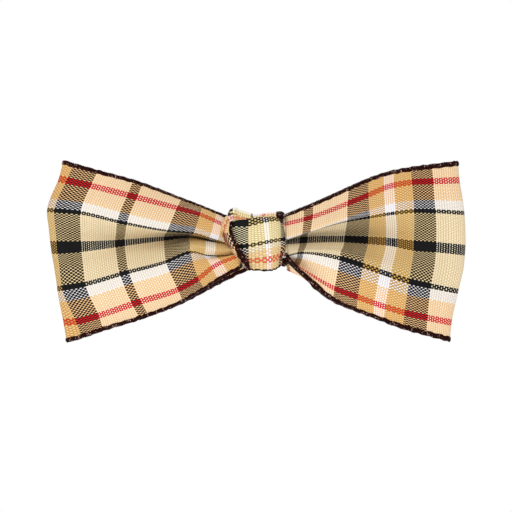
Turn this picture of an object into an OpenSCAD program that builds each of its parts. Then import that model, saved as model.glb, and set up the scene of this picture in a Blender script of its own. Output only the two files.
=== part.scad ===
// Clip-on bow tie. One wired ribbon is laid into a flat ring and pinched at its middle into two
// loops, a narrower ribbon with an overhand knot in it binds the middle, and its tails hold a
// collar clip with two spring jaws.
// Frame: X across the bow, Y from its front towards the wearer, Z up. The origin is the middle of
// the clip bar's back face, where the bow meets the collar. Sizes are in millimetres.

/* [Bow ribbon] */
// Width of the bow across both loops
bow_w = 113.4; // [106:0.2:121]
// Width of the bow ribbon over its bound edges
ribbon_w = 50.8; // [47:0.2:54]
// Thickness of the woven ribbon
ribbon_t = 0.5; // [0.3:0.05:0.6]
// Distance from the front to the back of a loop, near its outer fold
loop_gap = 5.5; // [4.5:0.1:6.5]
// Share of the front pleats' depth that the back of a loop repeats
back_pleat = 0.8; // [0.7:0.05:0.9]

/* [Bound edges] */
// Radius of the ribbon's thread-bound edge
edge_r = 0.5; // [0.45:0.01:0.55]
// Radius of the wire inside the bound edge
wire_r = 0.15; // [0.1:0.01:0.2]
// Clearance of the wire in the edge, and of the edge beside the woven web
edge_clear = 0.06; // [0.04:0.01:0.08]

/* [Knot] */
// Half the width of the tails where they go round the middle
tail_half_w = 6.5; // [6:0.1:6.8]
// Thickness of the folded tails
tail_t = 0.8; // [0.6:0.05:0.9]
// How far the front of the knot stands ahead of the clip bar's back face
knot_front = 14; // [13.5:0.1:15]
// Radius of the sewing and gathering thread
thread_r = 0.25; // [0.15:0.01:0.3]

/* [Clip bar] */
// Length of the clip bar
bar_l = 57; // [56:0.5:62]
// Height of the clip bar at its jaws
bar_h = 9.6; // [9.6:0.1:10.4]
// Thickness of the clip bar and its lugs
bar_t = 0.8; // [0.7:0.05:1]
// Distance of each pivot from the middle
pivot_x = 18; // [17.5:0.1:18.5]
// Height of the pivots behind the bar's back face
pivot_y = 2.2; // [2.1:0.05:2.4]

/* [Jaws] */
// Radius of the pivot pins
pin_r = 0.75; // [0.7:0.01:0.8]
// Radial clearance of the jaws on their pins
pin_clear = 0.05; // [0.03:0.01:0.08]
// Thickness of the jaw plate
jaw_t = 0.7; // [0.6:0.05:0.8]
// Length of a jaw from its pivot to its teeth
nose_l = 10.2; // [9.5:0.1:10.2]
// Length of a jaw's thumb lever
lever_l = 8; // [7:0.1:8.4]
// Rise of the thumb lever from the bar when the jaw is shut
lever_rise = 20; // [15:1:22]
// Gap between the shut teeth and the bar
tooth_gap = 0.1; // [0.05:0.05:0.3]

/* [Springs] */
// Radius of the spring wire
spring_r = 0.25; // [0.2:0.01:0.25]
// Mean radius of the spring's coil
coil_r = 1.2; // [1.1:0.01:1.2]
// Turns of each spring
coil_turns = 4; // [3:1:5]

/* [Hidden] */

// The loops' lines are drawn for a bow of this width and ribbon width, and scaled from there.
drawn_bow_w = 113.4;
drawn_ribbon_w = 50.8;
wide = bow_w / drawn_bow_w;
tall = ribbon_w / drawn_ribbon_w;

// Five lines run along each loop: its top edge, the crest of the upper pleat, the valley, the
// crest of the lower pleat and its bottom edge. Each has four points on the front, from the waist
// outwards, and then the tip of the outer fold as [x, z].
LEFT_LINES = [
    [[-9.5, -6, 9.5], [-18, -6.3, 13.2], [-31, -7.4, 18.1], [-46, -8.5, 22.3], [-52.5, 24.2]],
    [[-9.5, -11.7, 2.3], [-18, -13.6, 5], [-31, -13.7, 6.7], [-46, -12.4, 10], [-56.7, 11.3]],
    [[-9.5, -4.2, 2.1], [-18, -3.8, 3], [-31, -4.6, 2.2], [-46, -6.2, 1], [-55.9, 0.8]],
    [[-9.5, -8.6, -0.5], [-18, -11.6, -0.7], [-31, -12.3, -4.9], [-46, -10.7, -9.1],
     [-54.1, -10.5]],
    [[-9.5, -7.5, -7.6], [-18, -8.3, -12.7], [-31, -9.4, -18.5], [-43, -9, -22.2], [-51.6, -25]]];
RIGHT_LINES = [
    [[8.5, -6, 9.8], [18, -6.8, 13.9], [31, -8.1, 19.4], [46, -8.7, 22.8], [54.4, 23.9]],
    [[8.5, -11, 2.9], [18, -13, 6.2], [31, -13.5, 9.3], [46, -10.8, 10.9], [56, 10.5]],
    [[8.5, -4.4, 2.2], [18, -4.1, 3], [31, -5, 2.4], [46, -6.9, 0.9], [56.4, -0.5]],
    [[8.5, -10, 0.7], [18, -11.8, -1.1], [31, -12, -5.1], [46, -9.3, -9.6], [54.5, -11.2]],
    [[8.5, -7.4, -2], [18, -8.4, -11.2], [31, -9, -17.8], [45, -8.5, -22.6], [52.2, -24.6]]];
VALLEY = 2;
// How far the back of a loop lies behind its front at each of the four points, as a share of
// loop_gap, and how much narrower the back is.
GAP_SHARE = [0.2, 0.32, 0.58, 1];
back_narrow = 0.97;
// The fold's shoulders: share of the way out to the tip, and of the loop's half depth
SHOULDER = [0.76, 0.72];
// Steps of the web between two points of a line, and between two lines
web_steps = 2;
web_rows = 3;
tube_sides = 8;

// The pinched middle: [x, lowest z, highest z, front y, back y] of its cross-sections, left to
// right. It is thinnest where the gathering thread binds it.
WAIST = [[-9.3, -6.3, 9, -9.4, -1.15], [-7.4, -4.2, 7.2, -9, -1.15], [-4, -3.6, 6.6, -8.4, -1.8],
         [0, -3.4, 6.4, -8.2, -2], [4, -3.6, 6.6, -8.4, -1.8], [6.9, -4.2, 7.2, -9, -1.15],
         [8.3, -5.4, 9.2, -9.4, -1.15]];
THREAD_PLACE = 3;
oval_sides = 20;
// Turns of the gathering thread and the length of the waist they cover
thread_turns = 4;
thread_span = 3.2;
thread_points = 14;
thread_sides = 6;
thread_clear = 0.2;

// The knot's front band, as the waist above but with no back y, and the middle line of its left
// turn as [x, z]
FRONT_BAND = [[-4.6, -3.2, 6.4, -12.2], [-3.6, -5, 7.8, -13.2], [-1, -5.6, 8.3, -13.9],
              [3, -5.7, 8.3, -14], [6.3, -5.2, 8, -13.2], [7.6, -3.4, 6.8, -12]];
drawn_knot_front = 14;
LEFT_TURN = [[-7, 7.4], [-7.7, 4.2], [-7.2, 1], [-6.2, -2]];
turn_r = 1.35;

// Gap between two plies that lie on each other
ply_gap = 0.1;
// The ring of the knot's tails: its top, bottom, front and back, outside
ring_top = 9.6;
ring_bottom = -6;
ring_front = -10.6;
ring_back = ply_gap + tail_t;
bend_r = 1.8;
corner_steps = 6;
// Where the upper and the lower tail come out from under the front band
upper_start_z = 6.9;
lower_start_z = -3;
stitch_l = 2.4;
stitch_step = 2.4;
stitch_z = 1.5;

// Insides of the lugs, and the ears of the jaws that turn between them
lug_in = bar_h / 2 - bar_t;
lug_r = 2;
ear_gap = 0.2;
ear_out = lug_in - ear_gap;
ear_t = 0.7;
ear_r = 1.9;
// The rivet heads of the pins
head_r = 1.2;
head_t = 0.5;
// How far a cutting tool goes past what it cuts
past = 1;
// The jaw's plate leaves its ears at hump_x, slants down to flat_x and lies flat_y behind the pivot
hump_x = 1.9;
flat_x = 4.9;
flat_y = -0.3;
slant_x = 0.3;
root_x = -0.4;
hump_drop = 0.2;
bar_neck_h = 6;
bar_neck_l = 26;
tooth_count = 5;
tooth_depth = 0.6;
coil_points = 10;
coil_pitch = 0.95;
leg_l = 4.6;
round_fn = 48;

WOVEN = "tan";
BINDING = "#3a1c16";
STEEL = "silver";
THREAD = "black";

// ---- Curves, sheets and tubes ----

function blend_at(a, b, c, d, t) =
    (2 * b + (c - a) * t + (2 * a - 5 * b + 4 * c - d) * t * t
     + (3 * b - 3 * c + d - a) * t * t * t) / 2;

// A smooth curve through the given points, with n steps between two of them
function curve(pts, n) =
    let (last = len(pts) - 1)
    concat([for (i = [0:last - 1]) for (k = [0:n - 1])
            blend_at(pts[max(i - 1, 0)], pts[i], pts[i + 1], pts[min(i + 2, last)], k / n)],
           [pts[last]]);

function unit(v) = v / norm(v);

function near(i, n) = min(max(i, 0), n - 1);

// Triangles of a band between two rows of points that start at a and b and close on themselves
function band(a, b, n) =
    [for (i = [0:n - 1]) let (j = (i + 1) % n)
     each [[a + i, b + i, b + j], [a + i, b + j, a + j]]];

// A ring of points round one place on a path
function ring(path, i, r, sides, up) =
    let (n = len(path),
         t = unit(path[near(i + 1, n)] - path[near(i - 1, n)]),
         side = unit(cross(t, up)),
         over = cross(side, t))
    [for (k = [0:sides - 1]) path[i] + r * (cos(k * 360 / sides) * side
                                            + sin(k * 360 / sides) * over)];

// A solid round tube along a path. up is never along the path.
module tube(path, r, sides, up) {
    n = len(path);
    points = [for (i = [0:n - 1]) each ring(path, i, r, sides, up)];
    first = [[for (k = [0:sides - 1]) k]];
    last = [[for (k = [sides - 1:-1:0]) (n - 1) * sides + k]];
    sides_faces = [for (i = [0:n - 2]) each band(i * sides, (i + 1) * sides, sides)];
    polyhedron(points, concat(first, sides_faces, last));
}

// The same with a hole along its middle
module hollow_tube(path, r, bore_r, sides, up) {
    n = len(path);
    outer = [for (i = [0:n - 1]) each ring(path, i, r, sides, up)];
    inner = [for (i = [0:n - 1]) each ring(path, i, bore_r, sides, up)];
    m = n * sides;
    outside = [for (i = [0:n - 2]) each band(i * sides, (i + 1) * sides, sides)];
    inside = [for (i = [0:n - 2]) each band(m + (i + 1) * sides, m + i * sides, sides)];
    start = band(m, 0, sides);
    end = band((n - 1) * sides, m + (n - 1) * sides, sides);
    polyhedron(concat(outer, inner), concat(outside, inside, start, end));
}

// The unit normal of a grid of points at row i and column j
function normal_at(grid, i, j) =
    let (n = len(grid), m = len(grid[0]))
    unit(cross(grid[near(i + 1, n)][j] - grid[near(i - 1, n)][j],
               grid[i][near(j + 1, m)] - grid[i][near(j - 1, m)]));

// A closed sheet of the given thickness round a grid of points
module sheet(grid, thick) {
    n = len(grid);
    m = len(grid[0]);
    side_a = [for (i = [0:n - 1]) for (j = [0:m - 1]) grid[i][j] + normal_at(grid, i, j) * thick / 2];
    side_b = [for (i = [0:n - 1]) for (j = [0:m - 1]) grid[i][j] - normal_at(grid, i, j) * thick / 2];
    k = n * m;
    rim = concat([for (j = [0:m - 1]) j], [for (i = [1:n - 1]) i * m + m - 1],
                 [for (j = [m - 2:-1:0]) (n - 1) * m + j], [for (i = [n - 2:-1:1]) i * m]);
    count = len(rim);
    top = [for (i = [0:n - 2]) for (j = [0:m - 2]) let (a = i * m + j)
           each [[a, a + 1, a + m + 1], [a, a + m + 1, a + m]]];
    bottom = [for (f = top) [k + f[0], k + f[2], k + f[1]]];
    edge = [for (i = [0:count - 1]) let (a = rim[i], b = rim[(i + 1) % count])
            each [[a, k + a, k + b], [a, k + b, b]]];
    polyhedron(concat(side_a, side_b), concat(top, bottom, edge));
}

// ---- The loops ----

function sized(p) = [p[0] * wide, p[1], p[2] * tall];

// A point of a line on the back of the loop, from the one on the front
function back_point(front, valley_y, share) =
    [front[0], valley_y + share * loop_gap + back_pleat * (front[1] - valley_y),
     front[2] * back_narrow];

// A point that keeps the outer fold round, between its tip and the point before or after it
function shoulder(p, tip) =
    [p[0] + SHOULDER[0] * (tip[0] - p[0]), tip[1] + SHOULDER[1] * (p[1] - tip[1]),
     p[2] + SHOULDER[0] * (tip[2] - p[2])];

// One line all the way round a loop, front first, from the waist and back to it
function loop_line(lines, i) =
    let (line = lines[i],
         front = [for (s = [0:3]) line[s]],
         back = [for (s = [3:-1:0]) back_point(line[s], lines[VALLEY][s][1], GAP_SHARE[s])],
         tip = [line[4][0], (front[3][1] + back[0][1]) / 2, line[4][1]],
         fold = [shoulder(front[3], tip), tip, shoulder(back[0], tip)])
    curve([for (p = concat(front, fold, back)) sized(p)], web_steps);

// The whole loop as a grid: one row for each step along the ribbon
function loop_grid(lines) =
    let (all = [for (i = [0:len(lines) - 1]) loop_line(lines, i)])
    [for (s = [0:len(all[0]) - 1]) curve([for (line = all) line[s]], web_rows)];

// A row of the grid, cut short at both ends to leave room for the bound edges
function inset_row(row) =
    let (m = len(row), gap = edge_r + edge_clear)
    [for (j = [0:m - 1])
     j == 0 ? row[0] + gap * unit(row[1] - row[0])
     : j == m - 1 ? row[m - 1] + gap * unit(row[m - 2] - row[m - 1])
     : row[j]];

module loop_web(lines) {
    color(WOVEN) sheet([for (row = loop_grid(lines)) inset_row(row)], ribbon_t);
}

module bound_edge(lines, i) {
    color(BINDING) hollow_tube(loop_line(lines, i), edge_r, wire_r + edge_clear, tube_sides, [0, 0, 1]);
}

module edge_wire(lines, i) {
    color(STEEL) tube(loop_line(lines, i), wire_r, tube_sides, [0, 0, 1]);
}

TOP = 0;
BOTTOM = 4;
module left_wing() loop_web(LEFT_LINES);
module right_wing() loop_web(RIGHT_LINES);
module left_top_edge() bound_edge(LEFT_LINES, TOP);
module left_bottom_edge() bound_edge(LEFT_LINES, BOTTOM);
module right_top_edge() bound_edge(RIGHT_LINES, TOP);
module right_bottom_edge() bound_edge(RIGHT_LINES, BOTTOM);
module left_top_wire() edge_wire(LEFT_LINES, TOP);
module left_bottom_wire() edge_wire(LEFT_LINES, BOTTOM);
module right_top_wire() edge_wire(RIGHT_LINES, TOP);
module right_bottom_wire() edge_wire(RIGHT_LINES, BOTTOM);

// ---- The pinched middle and its thread ----

// The middle of an oval cross-section w, which is [x, lowest z, highest z, front y, back y], and
// its half sizes along Y and Z
function oval_middle(w) = [(w[4] + w[3]) / 2, (w[2] + w[1]) / 2];
function oval_half(w) = [(w[4] - w[3]) / 2, (w[2] - w[1]) / 2];

function oval(w, sides) =
    let (c = oval_middle(w), h = oval_half(w))
    [for (k = [0:sides - 1]) let (a = k * 360 / sides)
     [w[0], c[0] + h[0] * cos(a), c[1] + h[1] * sin(a)]];

// A solid through a row of oval cross-sections
module loft(sections, sides) {
    n = len(sections);
    points = [for (w = sections) each oval(w, sides)];
    first = [[for (k = [0:sides - 1]) k]];
    last = [[for (k = [sides - 1:-1:0]) (n - 1) * sides + k]];
    sides_faces = [for (i = [0:n - 2]) each band(i * sides, (i + 1) * sides, sides)];
    polyhedron(points, concat(first, sides_faces, last));
}

module bow_waist() {
    color(WOVEN) loft(WAIST, oval_sides);
}

// The thread's turns lie just outside the narrowest part of the waist
module gathering_thread() {
    c = oval_middle(WAIST[THREAD_PLACE]);
    h = oval_half(WAIST[THREAD_PLACE]) + (thread_r + thread_clear) * [1, 1];
    steps = thread_turns * thread_points;
    path = [for (k = [0:steps]) let (a = k * 360 / thread_points)
            [(k / steps - 0.5) * thread_span, c[0] + h[0] * cos(a), c[1] + h[1] * sin(a)]];
    color(THREAD) tube(path, thread_r, thread_sides, [1, 0, 0]);
}

// ---- The knot ----

// The band across the front, a rounded pad
module knot_front_band() {
    swell = knot_front - drawn_knot_front;
    sections = [for (w = FRONT_BAND) [w[0], w[1], w[2], w[3] - swell, ring_front - ply_gap]];
    color(WOVEN) loft(sections, oval_sides);
}

// The ply that comes round the left of the band and goes under it
module knot_left_turn() {
    y = ring_front - ply_gap - turn_r;
    path = curve([for (p = LEFT_TURN) [p[0], y, p[1]]], web_steps);
    color(WOVEN) tube(path, turn_r, tube_sides, [0, 1, 0]);
}

// A flat strip bent along an outline in Y and Z, and as wide as the tails
module tail_strip(outline) {
    translate([-tail_half_w, 0, 0]) rotate([90, 0, 90]) linear_extrude(2 * tail_half_w)
        polygon(outline);
}

// A quarter of a round corner, as [y, z] points round a centre
function corner(cy, cz, r, from, to) =
    [for (a = [from:(to - from) / corner_steps:to]) [cy + r * cos(a), cz + r * sin(a)]];

// The upper tail rolls over the top of the waist to the back
module knot_top_strand() {
    cy = ring_front + bend_r;
    back_cy = ring_back - bend_r;
    outer = concat([[ring_front, upper_start_z]], corner(cy, ring_top - bend_r, bend_r, 180, 90),
                   corner(back_cy, ring_top - bend_r, bend_r, 90, 0));
    inner = concat(corner(back_cy, ring_top - bend_r, bend_r - tail_t, 0, 90),
                   corner(cy, ring_top - bend_r, bend_r - tail_t, 90, 180),
                   [[ring_front + tail_t, upper_start_z]]);
    color(WOVEN) tail_strip(concat(outer, inner));
}

// The lower tail goes under the waist to the back
module knot_bottom_strand() {
    cy = ring_front + bend_r;
    back_cy = ring_back - bend_r;
    outer = concat([[ring_front, lower_start_z]], corner(cy, ring_bottom + bend_r, bend_r, 180, 270),
                   corner(back_cy, ring_bottom + bend_r, bend_r, 270, 360));
    inner = concat(corner(back_cy, ring_bottom + bend_r, bend_r - tail_t, 360, 270),
                   corner(cy, ring_bottom + bend_r, bend_r - tail_t, 270, 180),
                   [[ring_front + tail_t, lower_start_z]]);
    color(WOVEN) tail_strip(concat(outer, inner));
}

// Behind the clip bar the two tails lap and are sewn
module knot_back_wrap() {
    low = ring_bottom + bend_r;
    high = ring_top - bend_r;
    color(WOVEN) translate([-tail_half_w, ply_gap, low])
        cube([2 * tail_half_w, tail_t, high - low]);
}

module knot_stitches() {
    color(THREAD) for (i = [-2:2])
        translate([i * stitch_step, ring_back + thread_r / 2, stitch_z - stitch_l / 2])
            cylinder(h = stitch_l, r = thread_r, $fn = round_fn);
}

// ---- The clip ----

// A round bar along Z, centred on the middle plane
module z_rod(r, h) translate([0, 0, -h / 2]) cylinder(h = h, r = r, $fn = round_fn);

// The bar's plate: wide under the jaws, narrower where the tails go round it
module bar_plate() {
    rotate([90, 0, 0]) linear_extrude(bar_t) union() {
        square([bar_l - bar_h, bar_neck_h], center = true);
        for (s = [-1, 1]) {
            translate([s * (bar_l - bar_h) / 2, 0]) circle(d = bar_h, $fn = round_fn);
            translate([s * (bar_l - bar_h + bar_neck_l) / 4, 0])
                square([(bar_l - bar_h - bar_neck_l) / 2, bar_h], center = true);
        }
    }
}

// One lug: a tab with a round end and the pin's hole in it
module lug(side) {
    z = side > 0 ? lug_in : -lug_in - bar_t;
    translate([0, 0, z]) difference() {
        union() {
            translate([0, pivot_y, 0]) cylinder(h = bar_t, r = lug_r, $fn = round_fn);
            translate([-lug_r, -bar_t, 0]) cube([2 * lug_r, pivot_y + bar_t, bar_t]);
        }
        translate([0, pivot_y, -past]) cylinder(h = bar_t + 2 * past, r = pin_r, $fn = round_fn);
    }
}

module clip_bar() {
    color(STEEL) union() {
        bar_plate();
        for (x = [-pivot_x, pivot_x]) for (side = [-1, 1]) translate([x, 0, 0]) lug(side);
    }
}

// The jaw's plate in side view, round a pivot at the origin with its nose along +X
module jaw_side_view() {
    lever = [cos(180 - lever_rise), sin(180 - lever_rise)];
    lift = [sin(lever_rise), cos(lever_rise)];
    low = ear_r - hump_drop;
    lip = tooth_gap - pivot_y;
    high = flat_y + jaw_t;
    root = [root_x, low];
    tip = root + lever_l * lever;
    polygon([[nose_l, lip], [nose_l, high], [flat_x + slant_x, high],
             [hump_x + slant_x, low + jaw_t], root + jaw_t * [0, 1], tip + jaw_t * lift, tip, root,
             [hump_x, low], [flat_x, flat_y], [nose_l - jaw_t, flat_y], [nose_l - jaw_t, lip]]);
}

// The ears that hold the jaw on its pin
module jaw_ear() {
    difference() {
        union() {
            cylinder(h = ear_t, r = ear_r, $fn = round_fn);
            linear_extrude(ear_t) polygon([[-1, 0], [1, 0], [hump_x, ear_r], [3 * root_x, ear_r]]);
        }
        translate([0, 0, -past])
            cylinder(h = ear_t + 2 * past, r = pin_r + pin_clear, $fn = round_fn);
    }
}

// Notches that leave teeth along the jaw's lip
module tooth_notches() {
    pitch = 2 * ear_out / tooth_count;
    lip = tooth_gap - pivot_y;
    for (i = [0:tooth_count]) translate([nose_l - 2 * jaw_t, lip, -ear_out + i * pitch])
        rotate([90, 0, 90]) linear_extrude(3 * jaw_t)
            polygon([[-past, -pitch / 2], [0, -pitch / 2], [tooth_depth, 0], [0, pitch / 2],
                     [-past, pitch / 2]]);
}

module jaw() {
    color(STEEL) difference() {
        union() {
            translate([0, 0, -ear_out]) linear_extrude(2 * ear_out) jaw_side_view();
            translate([0, 0, ear_out - ear_t]) jaw_ear();
            translate([0, 0, -ear_out]) jaw_ear();
        }
        tooth_notches();
    }
}

module pin() {
    color(STEEL) union() {
        z_rod(pin_r, bar_h);
        for (s = [-1, 1]) translate([0, 0, s * (bar_h + head_t) / 2]) z_rod(head_r, head_t);
    }
}

// The spring's coil with one leg on the bar and one under the lever, both pointing inboard
module spring() {
    steps = coil_turns * coil_points;
    half = coil_turns * coil_pitch / 2;
    start = -90;
    sweep = coil_turns * 360 + 180 - lever_rise;
    coil = [for (k = [0:steps]) let (a = start + k * sweep / steps)
            [coil_r * cos(a), coil_r * sin(a), -half + 2 * half * k / steps]];
    bar_leg = [-leg_l, spring_r + ply_gap - pivot_y, -half];
    end_a = start + sweep;
    along = [-cos(lever_rise), sin(lever_rise), 0];
    lever_leg = [coil_r * cos(end_a), coil_r * sin(end_a), half] + leg_l * along;
    color(STEEL) tube(concat([bar_leg], coil, [lever_leg]), spring_r, tube_sides, [0, 0, 1]);
}

// Puts a part of the clip on its pivot: +1 is the right one, and the left one is its mirror image
module at_pivot(side) {
    if (side > 0) translate([pivot_x, pivot_y, 0]) children();
    else mirror([1, 0, 0]) translate([pivot_x, pivot_y, 0]) children();
}

module left_jaw() at_pivot(-1) jaw();
module right_jaw() at_pivot(1) jaw();
module left_pin() at_pivot(-1) pin();
module right_pin() at_pivot(1) pin();
module left_spring() at_pivot(-1) spring();
module right_spring() at_pivot(1) spring();

left_wing();
right_wing();
bow_waist();
left_top_edge();
left_bottom_edge();
right_top_edge();
right_bottom_edge();
left_top_wire();
left_bottom_wire();
right_top_wire();
right_bottom_wire();
gathering_thread();
knot_front_band();
knot_left_turn();
knot_top_strand();
knot_bottom_strand();
knot_back_wrap();
knot_stitches();
clip_bar();
left_jaw();
right_jaw();
left_pin();
right_pin();
left_spring();
right_spring();
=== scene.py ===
"""The bow tie's looks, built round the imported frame. Lengths here are in millimetres until they
reach Blender, which works in metres. X runs across the bow, Y towards the wearer, Z up."""

import math

import bpy
import numpy as np
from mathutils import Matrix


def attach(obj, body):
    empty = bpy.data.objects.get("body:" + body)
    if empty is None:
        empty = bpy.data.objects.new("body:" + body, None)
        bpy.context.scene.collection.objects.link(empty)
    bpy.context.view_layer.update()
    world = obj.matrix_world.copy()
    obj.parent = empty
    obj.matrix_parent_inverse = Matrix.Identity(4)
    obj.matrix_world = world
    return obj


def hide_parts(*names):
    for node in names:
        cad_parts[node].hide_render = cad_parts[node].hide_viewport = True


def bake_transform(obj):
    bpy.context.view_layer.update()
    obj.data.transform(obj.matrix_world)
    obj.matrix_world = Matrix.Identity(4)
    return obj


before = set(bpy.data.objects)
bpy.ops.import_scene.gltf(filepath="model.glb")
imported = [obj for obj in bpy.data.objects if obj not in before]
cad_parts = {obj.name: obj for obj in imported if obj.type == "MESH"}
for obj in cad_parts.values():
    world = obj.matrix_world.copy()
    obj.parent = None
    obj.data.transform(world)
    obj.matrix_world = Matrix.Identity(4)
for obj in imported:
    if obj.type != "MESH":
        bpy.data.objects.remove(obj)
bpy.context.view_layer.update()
MM = 0.001

# ---- The two ribbons: their yarns and their check, counted in yarns ----

BOW_PITCH = (0.588, 0.38)  # between two crosswise yarns, and between two lengthwise ones
KNOT_PITCH = (0.66, 0.33)
RIBBON_T = 0.3
THREAD_PITCH = 0.5  # between two turns of the thread that binds an edge
THREAD_STEPS = 4  # rings of points in each turn

WHITE = (0.96, 0.94, 0.95)
BLACK = (0.02, 0.02, 0.025)
CAMEL = (0.985, 0.785, 0.55)
STRAW = (0.905, 0.80, 0.595)
RED = (0.84, 0.04, 0.06)
CREAM = (0.955, 0.905, 0.80)
GOLD = (0.78, 0.61, 0.31)
PALE = (0.98, 0.93, 0.76)
AMBER = (0.85, 0.75, 0.50)
TAN = (0.95, 0.79, 0.62)
BRICK = (0.86, 0.36, 0.27)
MILK = (0.945, 0.905, 0.85)
BINDING = (0.13, 0.045, 0.04)

# Lengthwise stripes from the middle outwards: yarns counted from the middle, and their colour
WARP_STRIPES = [(5, BLACK), (28, STRAW), (31, BLACK), (38, WHITE), (50, CAMEL),
                (55, RED), (64, CAMEL), (68, BINDING)]
KNOT_WARP = [(3, BLACK), (19, PALE), (22, BLACK), (26, MILK), (30, TAN), (33, BRICK),
             (38, TAN), (39, BINDING)]
# Crosswise stripes along one repeat: how many yarns each has, and their colour
WEFT_STRIPES = [(11, BLACK), (8, GOLD), (5, WHITE), (8, GOLD), (11, BLACK), (16, CREAM),
                (4, BLACK), (17, CREAM)]
KNOT_WEFT = [(7, BLACK), (5, AMBER), (2, WHITE), (5, AMBER), (7, BLACK), (8, AMBER),
             (3, BLACK), (8, AMBER)]

# ---- Where the bow's fabric lies: warp lines crossed by weft lines ----

# Places across the ribbon of the twelve warp lines that shape a loop, top edge first
LINES_V = [25.4, 19.8, 14.2, 11.7, 5.8, 2.0, -2.0, -6.6, -9.8, -11.2, -19.8, -25.4]
# Places along the ribbon of the eight weft lines, from a loop's outer fold to the knot
LEFT_U = [-31.2, -28.6, -22.3, -11.1, 0, 6.4, 12.5, 18.6]
RIGHT_U = [80.9, 72.1, 65.7, 59.6, 53.5, 47.2, 36.0, 30.0]

# Each warp line's (x, y, z) where the weft lines cross it, from the outer fold to the knot
LEFT_NET = [
    [(-52.5, -6, 24.2), (-49.8, -8, 23.4), (-43.5, -8.5, 21.6), (-32.1, -7.5, 18.5),
     (-20.4, -6.5, 14.0), (-15.0, -6, 11.9), (-9.9, -6, 9.8), (-6.4, -6, 8.5)],
    [(-53.7, -6.5, 19.2), (-51.7, -8.8, 18.7), (-45.4, -10, 17.3), (-33.6, -10.5, 14.3),
     (-21.6, -10.3, 11.2), (-15.5, -9.6, 9.5), (-10.6, -9, 7.4), (-7.0, -8.5, 5.6)],
    [(-56.0, -7, 13.7), (-54.1, -9.5, 13.4), (-47.3, -11.9, 12.6), (-35.4, -13.2, 9.6),
     (-23.3, -13.1, 6.9), (-16.6, -11.7, 5.9), (-11.4, -10.3, 4.1), (-7.4, -9.3, 2.6)],
    [(-56.7, -7, 11.3), (-54.8, -9.5, 11.1), (-47.9, -12, 10.5), (-36.0, -13.2, 7.7),
     (-23.9, -13, 5.4), (-17.1, -11.5, 4.7), (-11.8, -10, 3.1), (-7.5, -9, 1.7)],
    [(-56.4, -6.3, 6.2), (-54.7, -8.3, 5.9), (-48.2, -9.3, 5.7), (-36.7, -9.0, 4.7),
     (-24.9, -8, 4.5), (-18.1, -7.5, 4.3), (-12.4, -7, 3.0), (-7.4, -6.5, 1.7)],
    [(-56.1, -5.6, 2.6), (-54.5, -7.2, 2.5), (-48.3, -6.8, 2.5), (-37.2, -5.4, 2.95),
     (-25.2, -4.8, 3.8), (-18.5, -5, 3.8), (-12.6, -5.4, 2.7), (-7.3, -5.5, 1.7)],
    [(-55.6, -5.6, -1.1), (-54.2, -7.2, -1.1), (-48.1, -6.8, -0.7), (-37.1, -5.5, 0.8),
     (-25.2, -5.4, 2.4), (-18.5, -7.4, 3.1), (-12.7, -9, 2.1), (-7.2, -7.8, 1.4)],
    [(-54.9, -6, -4.9), (-53.6, -7.8, -4.7), (-47.5, -8.7, -4.3), (-36.5, -8.7, -2.2),
     (-24.9, -9.2, -0.2), (-18.1, -11.2, 1.5), (-12.6, -11.8, 0.4), (-7.0, -9.3, 0.1)],
    [(-54.3, -6, -8.8), (-53.1, -8.2, -8.6), (-47.0, -10.0, -7.8), (-35.9, -11.2, -5.0),
     (-24.6, -11.7, -2.3), (-18.1, -11.7, 0.1), (-12.9, -10.1, -0.9), (-6.9, -7.6, -1.0)],
    [(-54.1, -6, -10.5), (-52.8, -8.3, -10.3), (-46.7, -10.5, -9.3), (-35.5, -12, -6.2),
     (-24.4, -12.5, -3.2), (-18.0, -11.7, -0.6), (-13.0, -9.4, -1.4), (-6.8, -7, -1.4)],
    [(-52.5, -6, -19.4), (-49.3, -8.5, -19.2), (-43.2, -10, -17.7), (-32.4, -11, -14.0),
     (-21.3, -11.5, -10.5), (-15.9, -11, -7.6), (-11.1, -10, -3.9), (-5.2, -9, -1.5)],
    [(-51.6, -6, -25.0), (-47.7, -8, -23.8), (-42.0, -9, -21.8), (-30.2, -9.5, -18.2),
     (-20.0, -8.5, -13.9), (-14.3, -8, -10.5), (-9.3, -7.5, -7.5), (-2.2, -7, -3.6)]]
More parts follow.
